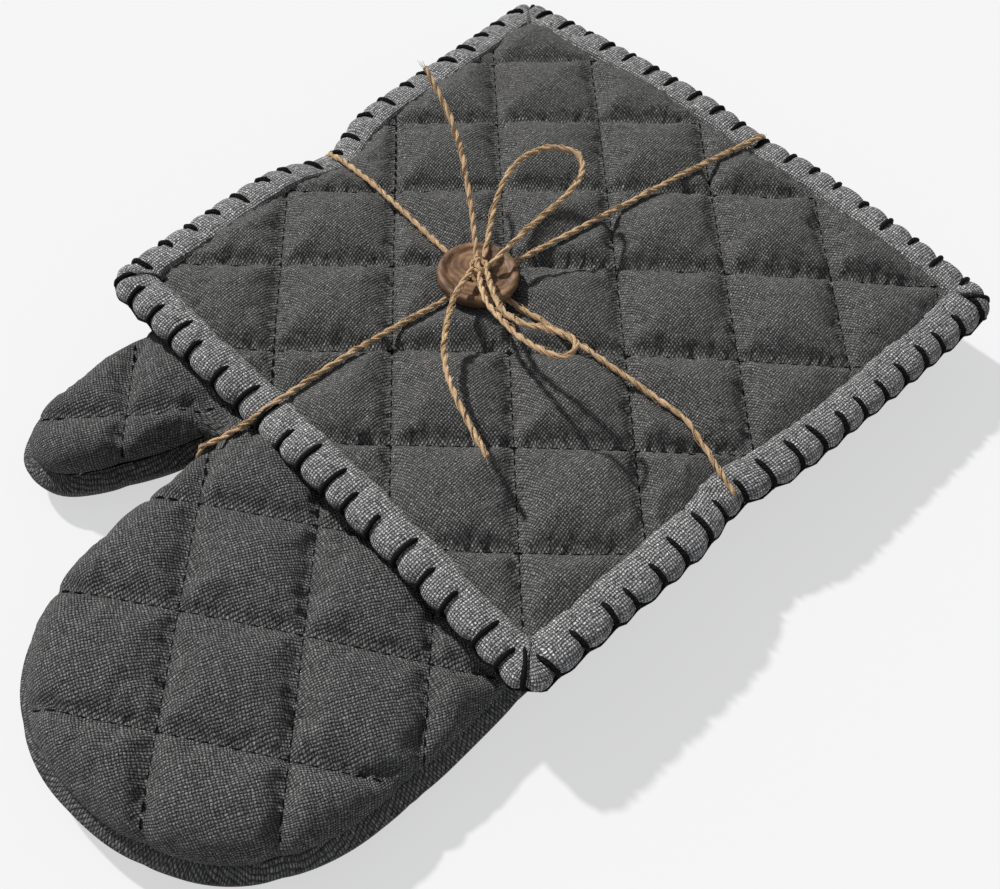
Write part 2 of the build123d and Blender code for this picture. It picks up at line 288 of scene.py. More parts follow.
def woven(name, pitch, dark, light, fleck, turn=0.0, rib=1.0, depth=0.00025, contrast=0.5):
    """Plain weave on the flat coordinates, which are in millimetres, with uneven, flecked yarns."""
    n = Nodes(name)
    flat = n.add("VectorRotate", {"Vector": n.flat(), "Angle": turn}, rotation_type="Z_AXIS").outputs[0]
    moved = flat
    for scale, reach in ((0.09, 1.8), (0.6 / pitch, 0.8 * pitch)):
        wander = n.add("TexNoise", {"Vector": flat, "Scale": scale, "Detail": 2.0}).outputs[1]
        shift = n.add("VectorMath", {0: wander, 1: (0.5, 0.5, 0.5)}, operation="SUBTRACT").outputs[0]
        shift = n.add("VectorMath", {0: shift, 1: (reach, reach, 0)}, operation="MULTIPLY").outputs[0]
        moved = n.add("VectorMath", {0: moved, 1: shift}, operation="ADD").outputs[0]
    parts = n.add("SeparateXYZ", {0: moved})
    sin_u = n.math("SINE", n.math("MULTIPLY", parts.outputs[0], math.pi / pitch))
    sin_v = n.math("SINE", n.math("MULTIPLY", parts.outputs[1], math.pi / pitch))
    over = n.math("MULTIPLY_ADD", n.math("MULTIPLY", sin_u, sin_v), 3.0)
    over.node.inputs[2].default_value = 0.5
    over.node.use_clamp = True
    size_u, size_v = n.math("ABSOLUTE", sin_u), n.math("ABSOLUTE", sin_v)
    warp = n.math("MULTIPLY", n.math("POWER", size_u, 0.9), n.math("POWER", size_v, 0.4))
    weft = n.math("MULTIPLY", n.math("POWER", size_v, 0.9), n.math("POWER", size_u, 0.4))
    streak = 0.3         # how quickly the tone changes along a yarn, against across it
    warp_yarn = n.noise(moved, 1.0, 3.0, 0.6, (1 / pitch, streak / pitch, 1))
    weft_yarn = n.noise(moved, 1.0, 3.0, 0.6, (streak / pitch, 1 / pitch, 1))
    height = n.add("Mix", {0: over, 2: warp, 3: n.math("MULTIPLY", weft, rib)}).outputs[0]
    tone = n.add("Mix", {0: over, 2: warp_yarn, 3: weft_yarn}).outputs[0]
    grain = n.noise(flat, 1.5 / pitch, 4.0, 0.75)
    tone = n.math("ADD", n.math("MULTIPLY", tone, 0.5), n.math("MULTIPLY", grain, 0.5))
    # painted shade: the weave's height darkens the gaps between the yarns and lightens the yarn tops in the
    # colour
    painted_gap_shade = n.math("MULTIPLY_ADD", height, contrast)
    painted_gap_shade.node.inputs[2].default_value = 1.0 - contrast * 0.7
    patch = n.math("MULTIPLY_ADD", n.noise(flat, 0.05, 3.0, 0.6), 0.35)
    patch.node.inputs[2].default_value = 0.825
    colour = n.ramp(tone, [(0.38, dark), (0.50, light), (0.63, fleck)])
    for shade in (painted_gap_shade, patch):
        grey = n.add("CombineColor", {0: shade, 1: shade, 2: shade}).outputs[0]
        colour = n.mix(1.0, colour, grey, "MULTIPLY")
    relief = n.math("ADD", height, n.math("MULTIPLY", grain, 0.7))
    return n.surface(colour, 0.92, n.bump(relief, depth), sheen=0.04, specular=0.12)


COVER = woven("cover_fabric", 0.86, (0.036, 0.036, 0.0362), (0.125, 0.125, 0.1255), (0.27, 0.27, 0.27),
              turn=0.5, depth=0.0006, contrast=1.25)
HOLDER_COVER = woven("holder_cover_fabric", 0.80, (0.042, 0.042, 0.041), (0.128, 0.128, 0.125),
                     (0.30, 0.30, 0.294), turn=-0.05, rib=0.85, depth=0.0005, contrast=1.2)
BINDING = woven("binding_fabric", 0.92, (0.05, 0.05, 0.051), (0.30, 0.30, 0.302), (0.75, 0.75, 0.75),
                depth=0.0006, contrast=1.2)
LINING = woven("lining_fabric", 1.1, (0.05, 0.05, 0.05), (0.10, 0.10, 0.10), (0.16, 0.16, 0.16))


def thread_material(name, colour, glow):
    """Twisted sewing thread: slanting ridges and a fine fibre between two tones."""
    n = Nodes(name)
    parts = n.add("SeparateXYZ", {0: n.flat()})
    lay = n.math("SINE", n.math("ADD", n.math("MULTIPLY", parts.outputs[0], 4.2),
                                n.math("MULTIPLY", parts.outputs[1], 6.28)))
    fibre = n.noise(n.flat(), 2.0, 3.0, 0.7, (1.0, 4.0, 1.0))
    tone = n.mix(fibre, colour, glow)
    relief = n.math("ADD", n.math("MULTIPLY", lay, 0.5), fibre)
    return n.surface(tone, 0.85, n.bump(relief, 0.00018), specular=0.1)


STITCH = thread_material("stitch_thread", (0.002, 0.002, 0.0025), (0.010, 0.010, 0.011))
QUILTING = thread_material("quilting_thread", (0.003, 0.003, 0.0033), (0.010, 0.010, 0.010))


def jute_material():
    """Pale and dark fibres that run along the twine, with broad blotches."""
    n = Nodes("jute")
    fibre = n.noise(n.flat(), 1.0, 4.0, 0.7, (0.7, 9.0, 1.0))
    blotch = n.noise(n.flat(), 0.16, 2.0, 0.6)
    mixed = n.math("ADD", n.math("MULTIPLY", fibre, 0.7), n.math("MULTIPLY", blotch, 0.3))
    colour = n.ramp(mixed, [(0.30, (0.13, 0.070, 0.028)), (0.45, (0.46, 0.29, 0.145)),
                            (0.66, (0.80, 0.60, 0.37))])
    return n.surface(colour, 0.7, n.bump(fibre, 0.0003), sheen=0.15, specular=0.3)


def wood_material():
    """Turned wood: rings about the button's middle, and fine pores."""
    n = Nodes("wood")
    flat = n.flat()
    off = n.add("VectorMath", {0: flat, 1: (3.4, -2.6, 0.0)}, operation="ADD").outputs[0]
    wobble = n.noise(flat, 0.16, 3.0, 0.55)
    radius = n.add("VectorMath", {0: off}, operation="LENGTH").outputs["Value"]
    rings = n.math("SINE", n.math("ADD", n.math("MULTIPLY", radius, 3.1), n.math("MULTIPLY", wobble, 9.0)))
    pores = n.noise(flat, 3.0, 4.0, 0.7)
    broad = n.noise(flat, 0.12, 3.0, 0.6)
    grain = n.math("ADD", n.math("MULTIPLY", rings, 0.045), n.math("MULTIPLY", pores, 0.35))
    grain = n.math("ADD", grain, n.math("MULTIPLY", broad, 0.65))
    colour = n.ramp(grain, [(0.34, (0.040, 0.018, 0.008)), (0.50, (0.135, 0.068, 0.031)),
                            (0.66, (0.30, 0.175, 0.088))])
    return n.surface(colour, 0.55, n.bump(grain, 0.0003), specular=0.4)


JUTE, WOOD = jute_material(), wood_material()


# ---- twine -----------------------------------------------------------------------------------------
def twine_piece(name, line, ends=(), hairs=0.5):
    """Two-ply twine along the line, with loose hairs; ends lists 0 and -1 where the plies fray."""
    centre = resample(line, TWINE_STEP)
    tangents, across, other = frames(centre)
    run = np.arange(len(centre)) * TWINE_STEP
    pieces, fuzz = Pieces(), Pieces()

    def beside(angle, part=slice(None)):
        """Unit directions square to the twine, at an angle round it."""
        return np.cos(angle)[:, None] * across[part] + np.sin(angle)[:, None] * other[part]

    marks = np.arange(0, run[-1] + 18, 9)
    loose_lay = np.interp(run, marks, np.cumsum(rng.uniform(-0.9, 0.9, len(marks))))
    # thick wisps that leave the plies and come back to them
    for _ in range(int(run[-1] / 5)):
        first = int(rng.integers(0, max(1, len(centre) - 14)))
        part = np.arange(first, min(len(centre), first + int(rng.integers(12, 30))))
        if len(part) < 6:
            continue
        t = np.linspace(0, 1, len(part))
        turned = 2 * math.pi * (run[part] - run[first]) / TWIST
        angle = rng.uniform(0, 2 * math.pi) + turned * rng.uniform(0.5, 1.3)
        off = 0.62 + 0.5 * np.sin(math.pi * t) * rng.uniform(0.4, 1.2)
        wisp = centre[part] + off[:, None] * beside(angle, part)
        pieces.tube(wisp, 0.17 * np.sin(math.pi * (0.08 + 0.84 * t)), sides=5)
    for ply in (0, 1):
        place = centre + PLY_OFFSET * beside(2 * math.pi * run / TWIST + ply * math.pi + loose_lay)
        wave = 0.10 * np.sin(run * 0.9 + ply) * np.sin(run * 0.37)
        swell = 1 + wave + 0.05 * rng.standard_normal(len(run))
        pieces.tube(place, PLY_R * swell, sides=8, phase=ply)
    # fine hairs that stand off all along
    t = np.linspace(0, 1, 5)[:, None]
    for _ in range(int(run[-1] * hairs)):
        i = rng.integers(1, len(centre) - 1)
        angle = rng.uniform(0, 2 * math.pi)
        out = math.cos(angle) * across[i] + math.sin(angle) * other[i]
        start = centre[i] + out * 0.75
        long = rng.uniform(1.5, 5.5)
        lean = rng.choice((-1, 1)) * tangents[i]
        bend = rng.standard_normal(3) * 0.5
        arch = 0.9 * np.sin(t * 2.2) * rng.uniform(0.3, 1.3)
        hair = start + lean * long * t * 0.85 + out * arch + bend * t * t
        hair[:, 2] = np.maximum(hair[:, 2], 0.3)
        fuzz.tube(hair, np.linspace(0.07, 0.04, 5), sides=3)
    # the brush of fibres at a frayed end
    for end in ends:
        direction = tangents[end] * (1 if end == -1 else -1)
        for _ in range(11):
            long = rng.uniform(1.5, 4.5)
            spread = rng.standard_normal(3) * rng.uniform(0.25, 0.8)
            start = centre[end] - direction * 1.5 + rng.standard_normal(3) * 0.35
            fuzz.tube(start + direction * long * t + spread * long * 0.35 * t ** 1.6,
                      np.linspace(0.10, 0.04, 5), sides=3)
    made = pieces.made(name, JUTE)
    loose = fuzz.made(name + "_hairs", JUTE)
    for piece in (made, loose):
        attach(piece, "hand")
    return made, loose


for node, route, frayed, far_end in (
        ("twine_tail_upper", TAIL_UPPER, (-1,), "bare"), ("twine_tail_lower", TAIL_LOWER, (-1,), "bare"),
        ("twine_bow_loop_upper", LOOP_UPPER, (), "knot"), ("twine_bow_loop_lower", LOOP_LOWER, (), "knot")):
    line = nurbs_line(route)
    cord, loose = twine_piece(node + "_strands", line, frayed)
    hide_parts(node)

# ---- the shape of the pot holder and the mitt ---------------------------------------------------------
HOLDER_CORNERS = [(-102.8, -48.2), (89.8, -68.0), (109.6, 153.6), (-108.0, 163.4)]
HOLDER_MIDDLE_Z = 31.3
BUTTON_CENTRE = (-14.3, 28.7)
STITCH_PITCH = 10.5
# where the twine crosses each edge: place, inward direction, and how far it pulls the edge in and down
PINCHES = [((-103.0, 45.6), (1.0, 0.0), 4.5, 4.5), ((95.5, 24.0), (-1.0, 0.08), 4.5, 3.0),
           ((-30.0, -52.8), (0.1, 1.0), 1.5, 4.0), ((10.0, 156.0), (0.0, -1.0), 1.5, 1.0)]


def holder_drop(x, y):
    """How far the holder sags to both sides of its middle line."""
    return x * x / SAG * (0.35 + 0.65 * smooth(y, -60, 150))


def pinched(points):
    """Points of the holder, pulled in and down where the twine crosses an edge."""
    points = np.array(points, float)
    for (px, py), (ix, iy), pull, sink in PINCHES:
        offset = points[..., :2] - (px, py)
        depth = offset[..., 0] * ix + offset[..., 1] * iy
        side = offset[..., 0] * iy - offset[..., 1] * ix
        weight = np.exp(-(side / 15) ** 2) * np.exp(-(np.maximum(depth, 0) / 24) ** 2)
        points[..., 0] += ix * pull * weight
        points[..., 1] += iy * pull * weight
        points[..., 2] -= sink * weight
    return points


def quilt_lines(origin, steps):
    """Straight lines of a quilting grid: (point, unit direction) pairs through origin + whole steps."""
    (ax, ay), (bx, by) = steps
    lines = []
    for k in range(-9, 10):
        for (sx, sy), (dx, dy) in (((ax, ay), (bx, by)), ((bx, by), (ax, ay))):
            size = math.hypot(dx, dy)
            lines.append(((origin[0] + k * sx, origin[1] + k * sy), (dx / size, dy / size)))
    return lines


HOLDER_TURN, HOLDER_PITCH = math.radians(43), 36
HOLDER_ALONG = (HOLDER_PITCH * math.cos(HOLDER_TURN), HOLDER_PITCH * math.sin(HOLDER_TURN))
HOLDER_LINES = quilt_lines((11.4, 67.9), (HOLDER_ALONG, (-HOLDER_ALONG[1], HOLDER_ALONG[0])))
# the mitt's grid without the one line that would run along its left edge
MITT_LINES = [line for line in quilt_lines((-22.7, -81.5), ((30.0, 18.0), (22.7, -27.4)))
              if line[0] != (-22.7 - 30.0, -81.5 - 18.0)]
THUMB_LINES = quilt_lines((-64.0, -74.0), ((25.0, 25.0), (25.0, -25.0)))


def line_gap(points, lines):
    """Distance from each point to the nearest line, and the nearest point on it."""
    best, foot = np.full(len(points), 1e9), np.array(points, float)
    for (px, py), (dx, dy) in lines:
        rel = points - (px, py)
        along = rel[:, 0] * dx + rel[:, 1] * dy
        gap = np.abs(rel[:, 0] * dy - rel[:, 1] * dx)
        near = gap < best
        best[near] = gap[near]
        foot[near] = (np.stack([px + along * dx, py + along * dy], axis=1))[near]
    return best, foot


CHUNK = 1000             # places handled at once, to spare memory


def edge_gap(points, loop, closed):
    """Distance from each point to a polyline and the unit direction away from its nearest point."""
    points, loop = np.asarray(points, float), np.asarray(loop, float)
    a = loop if closed else loop[:-1]
    run = (np.roll(loop, -1, axis=0) if closed else loop[1:]) - a
    square = (run ** 2).sum(axis=1) + 1e-12
    gaps, ways = np.zeros(len(points)), np.zeros((len(points), 2))
    for first in range(0, len(points), CHUNK):
        part = points[first:first + CHUNK]
        t = np.clip(((part[:, None] - a) * run).sum(axis=2) / square, 0, 1)
        away = part[:, None] - (a + run * t[..., None])
        size = (away ** 2).sum(axis=2)
        k = size.argmin(axis=1)
        gap = np.sqrt(size[np.arange(len(part)), k])
        normal = np.stack([-run[k][:, 1], run[k][:, 0]], axis=1) / np.sqrt(square[k])[:, None]
        straight = away[np.arange(len(part)), k] / (gap[:, None] + 1e-9)
        gaps[first:first + CHUNK] = gap
        ways[first:first + CHUNK] = np.where((gap < 0.05)[:, None], normal, straight)
    return gaps, ways


def inside(points, loop):
    """True for each point inside the closed loop."""
    x, y = points[:, 0], points[:, 1]
    hit = np.zeros(len(points), bool)
    for (ax, ay), (bx, by) in zip(loop, np.roll(loop, -1, axis=0)):
        crosses = (ay > y) != (by > y)
        with np.errstate(divide="ignore", invalid="ignore"):
            hit ^= crosses & (x < (bx - ax) * (y - ay) / (by - ay) + ax)
    return hit


def triangles(loop, extra):
    """Triangles that fill a closed loop, through the extra points."""
    count = len(loop)
    places = [Vector(p) for p in np.vstack([loop, extra])]
    edges = [(i, (i + 1) % count) for i in range(count)]
    points, _, faces, *_ = delaunay_2d_cdt(places, edges, [], 1, 1e-4)
    return np.array([p[:] for p in points]), [tuple(f) for f in faces]


SPACING = 1.8     # between the places of a panel's net


def spread(loop):
    """Places all over a closed loop, in staggered rows a little shaken out of line."""
    low, high = loop.min(axis=0), loop.max(axis=0)
    net = [(x, y) for j, y in enumerate(np.arange(low[1], high[1], SPACING * 0.866))
           for x in np.arange(low[0] + (j % 2) * SPACING / 2, high[0], SPACING)]
    net = np.array(net) + rng.uniform(-0.12, 0.12, (len(net), 2)) * SPACING
    return net[inside(net, loop)]


def on_lines(lines, loop, edge, closed, clear, half):
    """Places on each line, up to half its length either way, in the loop and clear of the edge."""
    found = []
    along = np.arange(-half, half, SPACING * 0.95)
    for (px, py), (dx, dy) in lines:
        run = np.stack([px + along * dx, py + along * dy], axis=1)
        run = run[inside(run, loop)]
        if len(run):
            found.append(run[edge_gap(run, edge, closed)[0] > clear])
    return found


# ---- quilting by cloth simulation -----------------------------------------------------------------------
CLOTH_SCALE = 20.0       # the cloth is simulated this much larger, where the solver's units suit it
CLOTH_FRAMES = 26
PRESSURE = 1.6
EXTRA_CLOTH = 0.045      # how much larger the cloth is than its place, as a share
BENDING = 0.12


def settle(points, faces, held):
    """The padded cloth after its own wadding has pushed it out between the seams that hold it."""
    scene = bpy.context.scene
    sheet = mesh_object("cloth", np.asarray(points) * CLOTH_SCALE, faces, np.zeros((len(points), 2)), None)
    group = sheet.vertex_groups.new(name="held")
    for index, weight in enumerate(held):
        if weight > 0:
            group.add([index], float(weight), "REPLACE")
    cloth = sheet.modifiers.new("cloth", "CLOTH")
    own = cloth.settings
    own.quality = 6
    own.mass = 0.2
    own.tension_stiffness = own.compression_stiffness = 18
    own.shear_stiffness = 6
    own.bending_stiffness = BENDING
    own.tension_damping = own.compression_damping = own.shear_damping = 10
    own.air_damping = 6
    own.vertex_group_mass = "held"
    own.shrink_min = -EXTRA_CLOTH
    own.use_pressure = True
    own.uniform_pressure_force = PRESSURE
    own.effector_weights.gravity = 0
    cloth.collision_settings.use_collision = False
    cloth.collision_settings.use_self_collision = False
    cloth.point_cache.frame_start = 1
    cloth.point_cache.frame_end = CLOTH_FRAMES
    for number in range(1, CLOTH_FRAMES + 1):
        scene.frame_set(number)
        bpy.context.view_layer.update()
    settled = bpy.data.meshes.new_from_object(sheet.evaluated_get(bpy.context.evaluated_depsgraph_get()))
    place = np.zeros(len(points) * 3)
    settled.vertices.foreach_get("co", place)
    bpy.data.objects.remove(sheet)
    bpy.data.meshes.remove(settled)
    scene.frame_set(1)
    return place.reshape(-1, 3) / MM / CLOTH_SCALE


def pressed(points, line, height, slope, reach=1.2):
    """Cloth pushed down under a twine line: no higher than the line near it, and rising away from it."""
    line = resample(line, 1.5)
    for first in range(0, len(points), CHUNK):
        part = points[first:first + CHUNK]
        gap = np.hypot(line[:, 0] - part[:, :1], line[:, 1] - part[:, 1:2])
        k = gap.argmin(axis=1)
        gap = gap[np.arange(len(part)), k]
        limit = line[k][:, 2] - height + np.maximum(0.0, gap - reach) * slope
        part[:, 2] = np.where(gap < 14, np.minimum(part[:, 2], limit), part[:, 2])
    return points


def runs_between(line, low, high):
    """The unbroken parts of a line whose height is between two values."""
    fits = (line[:, 2] > low) & (line[:, 2] < high)
    breaks = np.flatnonzero(np.diff(fits.astype(int))) + 1
    parts = zip(np.split(line, breaks), np.split(fits, breaks))
    return [part for part, own in parts if own[0] and len(part) > 2]


def creased(points, gap_to_seam, amount, seed):
    """Soft creases in the cloth between seams: ridges of uneven length that fade out beside the seams."""
    lift = np.zeros(len(points))
    for i, (x, y, _) in enumerate(points):
        for scale, share, turn in ((0.075, 0.65, 0.6), (0.15, 0.35, -0.7)):
            u = (x * math.cos(turn) + y * math.sin(turn)) * scale * 1.7
            v = (y * math.cos(turn) - x * math.sin(turn)) * scale * 0.6
            fold = 1 - abs(noise.noise(Vector((u + seed, v, seed * 0.7)))) * 3.4
            where = max(0.0, noise.noise(Vector((x * 0.03, y * 0.03, seed + scale * 40))) * 2.0 + 0.45)
            lift[i] += share * max(-0.7, fold) * min(1.0, where)
    points[:, 2] += amount * lift * smooth(gap_to_seam, 0.5, 5.0)
    return points


def tree_of(points, faces):
    """A search tree of a panel, to find its height anywhere."""
    return BVHTree.FromPolygons([tuple(p) for p in points], [tuple(f) for f in faces])


def height_on(tree, x, y):
    """The height of the panel's upper face at one place, or None beside it."""
    hit = tree.ray_cast(Vector((x, y, 200.0)), Vector((0, 0, -1)))
    return hit[0].z if hit[0] else None


def dashes(tree, lines, loop, keep, stitch=2.9, gap=1.2, radius=0.33, sunk=0.15):
    """Short sewn stitches along the quilting lines, lying on the cloth below."""
    pieces = Pieces()
    for (px, py), (dx, dy) in lines:
        starts = np.arange(-300, 300, stitch + gap)
        mids = np.stack([px + (starts + stitch / 2) * dx, py + (starts + stitch / 2) * dy], axis=1)
        for start in starts[inside(mids, loop) & keep(mids)]:
            line = []
            for t in np.linspace(0, 1, 5):
                x, y = px + (start + stitch * t) * dx, py + (start + stitch * t) * dy
                z = height_on(tree, x, y)
                if z is None:
                    break
                line.append((x, y, z - sunk + 0.22 * math.sin(math.pi * t)))
            if len(line) == 5:
                pieces.tube(line, radius * np.array([0.5, 1, 1, 1, 0.5]), sides=5)
    return pieces


# ---- oven mitt -------------------------------------------------------------------------------------
SEAM_Z, MITT_TOP_Z, CUFF_CUT, CUFF_Y = 13.0, 26.0, 128.0, 139.5
EDGE_TOP_R, EDGE_LOW_R = 13.0, 9.0
FULLER = 2.0             # how far the stuffed edge stands out past the outline of the pattern
ROWS = (0.25, 0.8, 1.7, 3.0, 4.6, 6.6, 9.0, 11.2)
MITT_POINTS = [(76, 180), (80, -61), (79.4, -98), (75.5, -126), (61, -149), (34, -161), (2, -160.5),
               (-23, -145.5), (-35.4, -119), (-37.4, -92), (-38.0, -70), (-38.2, -59.5), (-43.2, -59.8),
               (-46.6, -72), (-55.6, -91), (-64, -102), (-77, -102.6), (-86.6, -90), (-89, -68),
               (-88, -45), (-72, 180)]
outline = resample(rounded(MITT_POINTS, 1e3), 2.0)
# from the left of the cuff, round the tips, to the right of the cuff: the inside lies on the left
side = outline[outline[:, 1] < CUFF_CUT][::-1]
side = resample(side - left_of(np.gradient(side, axis=0)) * FULLER, 2.0)
side = side[side[:, 1] < CUFF_CUT]
mouth = np.stack([np.linspace(side[-1][0], side[0][0], 70)[1:-1], np.full(68, CUFF_CUT)], axis=1)
mitt_loop = np.vstack([side, mouth])


def thumb_side(points):
    """True where a flat place belongs to the thumb's own quilting."""
    return (points[:, 0] < -41) & (points[:, 1] < -40)


def mitt_gap(points):
    """Distance to the nearest quilting line of the hand, or of the thumb."""
    hand, hand_foot = line_gap(points, MITT_LINES)
    thumb, thumb_foot = line_gap(points, THUMB_LINES)
    own = thumb_side(points)
    return np.where(own, thumb, hand), np.where(own[:, None], thumb_foot, hand_foot)


def mitt_net():
    """The flat layout of the mitt with its triangles: rows beside the edge, quilting lines, and a net."""
    net = spread(mitt_loop)
    inward = left_of(np.gradient(side, axis=0))
    clear = ROWS[-1] + SPACING * 0.6
    places = []
    for k, reach in enumerate(ROWS):
        row = side + inward * reach
        if k > 1 and k % 2 == 0:
            row = (row[1:] + row[:-1]) / 2
        row = row[inside(row, mitt_loop)]
        row = row[edge_gap(row, side, False)[0] > reach - 0.12]
        to_line, foot = mitt_gap(row)
        if reach > 3:
            row = np.where((to_line < 1.0)[:, None], foot, row)
        places.append(row)
    for lines, own in ((MITT_LINES, False), (THUMB_LINES, True)):
        for run in on_lines(lines, mitt_loop, side, False, clear, 300):
            places.append(run[thumb_side(run) == own])
    gap, _ = edge_gap(net, side, False)
    places.append(net[(gap > clear) & (mitt_gap(net)[0] > SPACING * 0.62)])
    return triangles(mitt_loop, np.vstack(places))


flat_mitt, mitt_faces = mitt_net()
mitt_d, mitt_way = edge_gap(flat_mitt, side, False)
mitt_q, _ = mitt_gap(flat_mitt)


def cut_pattern(top):
    """Where each place of the panel lies on its flat pattern: the rolled edge is laid out flat."""
    reach, rise = (EDGE_TOP_R, MITT_TOP_Z - SEAM_Z) if top else (EDGE_LOW_R, SEAM_Z)
    left = math.pi / 2 - np.arccos(1 - np.clip(mitt_d / reach, 0, 1))
    spare = left * (reach + rise) / 2 - np.clip(reach - mitt_d, 0, None)
    return flat_mitt - mitt_way * spare[:, None]


def mitt_surface(top):
    """The top or the palm of the mitt, from its flat layout."""
    reach = EDGE_TOP_R if top else EDGE_LOW_R
    turn = np.arccos(1 - np.clip(mitt_d / reach, 0, 1))
    x, y = flat_mitt[:, 0], flat_mitt[:, 1]
    if top:
        crest = MITT_TOP_Z - SEAM_Z - x * x / SAG + 0.6 * smooth(-y, 60, 90)
    else:
        crest = np.full(len(x), -SEAM_Z)
    z = SEAM_Z + crest * np.sin(turn)
    tuck = np.exp(-((z - SEAM_Z) / 1.7) ** 2)
    # the palm stands out a little past the back, and both turn in to meet at the seam
    if top:
        tuck = 2.6 * tuck + 1.8 * np.exp(-(mitt_d / 7) ** 2)
    else:
        tuck = 4.6 * tuck - 0.8 * np.exp(-(mitt_d / 5) ** 2)
    groove = 0.6 * np.exp(-(mitt_q / 2.1) ** 1.4) + 0.4 * (1 - np.clip(mitt_q / 13, 0, 1)) ** 2
    groove *= (0.25 + 0.75 * smooth(mitt_d, 0.8, 10)) * (4.4 if top else 1.6)
    inward = tuck + groove * np.cos(turn) * 0.9
    return np.stack([x + mitt_way[:, 0] * inward, y + mitt_way[:, 1] * inward,
                     z - groove * np.sin(turn) * (1 if top else -1)], axis=1)


top_mitt = mitt_surface(True)
# the cloth is held along the quilting lines, along its edge and under the cuff's binding
held = np.where((mitt_q < 0.35) & (mitt_d > 2.5), 1.0, 0.0)
held[mitt_d < 1.0] = 1.0
held[flat_mitt[:, 1] > CUFF_CUT - 3] = 1.0
top_mitt = settle(top_mitt, mitt_faces, held)
top_mitt = creased(top_mitt, np.minimum(mitt_q, mitt_d * 0.6), 0.8, 3.1)
# the lengthwise twine presses on the mitt where it drops through the crotch
crotch_run = np.array([(-31.2, -57.6, 30.0), (-35.4, -62.6, 25.2), (-39.4, -66.0, 20.5)])
top_mitt = pressed(top_mitt, crotch_run, 0.9, 0.8)
# where the holder lies on it, the mitt stays under the holder's back
cover_line = MITT_TOP_Z + 0.4 - flat_mitt[:, 0] ** 2 / SAG
covered = flat_mitt[:, 1] > -48
top_mitt[:, 2] = np.where(covered, np.minimum(top_mitt[:, 2], cover_line), top_mitt[:, 2])
palm = mitt_surface(False)
palm[:, 2] = np.maximum(palm[:, 2], 0.05)

WRAP_LENGTHWISE = [(-14.9, 24.7, 42.6), (-14.9, 24.7, 37.1), (-21.5, -12.0, 36.6), (-27.6, -49.0, 36.5),
                   (-31.2, -57.6, 31.0), (-35.4, -62.6, 26.0), (-39.6, -66.6, 20.5), (-41.0, -67.2, 8.0),
                   (-41.2, -66.0, 1.1), (9.0, 134.0, 1.1),
                   (10.4, 158.2, 27.0), (10.1, 154.0, 37.0), (-1.6, 94.0, 37.1), (-13.6, 32.7, 37.2),
                   (-13.6, 32.7, 42.6)]
WRAP_CROSSWISE = [(-14.3, 29.0, 37.1), (-54.0, 36.5, 35.2), (-94.0, 44.2, 33.4), (-102.9, 45.6, 31.0),
                  (-103.6, 46.0, 25.0), (-80.0, 43.0, 1.1), (-10.0, 34.6, 1.1), (72.0, 25.0, 1.1),
                  (97.0, 24.0, 25.0), (95.4, 24.1, 31.4), (88.0, 26.0, 33.6), (66.2, 33.0, 34.4),
                  (26.0, 31.4, 36.8), (-13.9, 29.0, 37.1)]
lengthwise = rounded(WRAP_LENGTHWISE, 2.2)
crosswise = rounded(WRAP_CROSSWISE, 2.2)
# the palm lifts a little over the twine that runs beneath it
for under in (lengthwise, crosswise):
    low = resample(under[under[:, 2] < 3], 1.5)
    for i, point in enumerate(palm):
        gap = np.hypot(low[:, 0] - point[0], low[:, 1] - point[1]).min()
        if mitt_d[i] > 1 and gap < 6:
            palm[i][2] = max(point[2], 2.3 - max(0.0, gap - 0.9) * 0.6)

centroid = np.array([flat_mitt[list(f)].mean(axis=0) for f in mitt_faces])
THUMB_FLEX_AT, THUMB_WAY = (-44.0, -65.5), (-0.1644, -0.98639)
CROTCH_X = -40.9         # the thumb lies to the left of this
flex_gap = (centroid - THUMB_FLEX_AT) @ np.array(THUMB_WAY)
is_thumb = (centroid[:, 0] < CROTCH_X) & (flex_gap > -8)


def split_panel(name, points, material, top):
    """The hand's and the thumb's meshes of one panel, with the same normals where they meet."""
    whole = mesh_object("whole", points, mitt_faces, flat_mitt, None, flip=not top)
    normals = np.zeros(len(points) * 3)
    whole.data.vertices.foreach_get("normal", normals)
    normals = normals.reshape(-1, 3)
    bpy.data.objects.remove(whole)
    made = []
    for part, chosen in (("hand", ~is_thumb), ("thumb", is_thumb)):
        faces = [f for f, own in zip(mitt_faces, chosen) if own]
        used = sorted({i for f in faces for i in f})
        place = {old: new for new, old in enumerate(used)}
        piece = mesh_object(f"{part}_{name}", points[used], [tuple(place[i] for i in f) for f in faces],
                            cut_pattern(top)[used], material, flip=not top)
        piece.data.normals_split_custom_set_from_vertices(normals[used].tolist())
        made.append(piece)
    return made


def bend_hand(piece):
    """The piece's placement baked into its mesh; the fingers are not bent."""
    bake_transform(piece)


def bend_thumb(piece):
    """The piece's placement baked into its mesh; the thumb is not bent."""
    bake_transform(piece)


hand_top, thumb_top = split_panel("back_quilted", top_mitt, COVER, True)
hand_palm, thumb_palm = split_panel("palm_quilted", palm, COVER, False)
for piece in (hand_top, hand_palm):
    bend_hand(piece)
for piece in (thumb_top, thumb_palm):
    bend_thumb(piece)
for part, top, low in (("hand", hand_top, hand_palm), ("fingers", hand_top, hand_palm),
                       ("thumb", thumb_top, thumb_palm)):
    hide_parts(f"{part}_back_cover", f"{part}_back_batting")
    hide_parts(f"{part}_palm_cover", f"{part}_palm_batting")

mitt_tree = tree_of(top_mitt, mitt_faces)
hand_sewn = dashes(mitt_tree, MITT_LINES, mitt_loop,
                   lambda p: ~thumb_side(p) & (p[:, 1] < -35)).made("hand_quilting", QUILTING)
thumb_sewn = dashes(mitt_tree, THUMB_LINES, mitt_loop, thumb_side).made("thumb_quilting", QUILTING)
bend_hand(hand_sewn)
bend_thumb(thumb_sewn)
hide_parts("hand_quilting_thread", "fingers_quilting_thread")
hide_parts("thumb_quilting_thread")

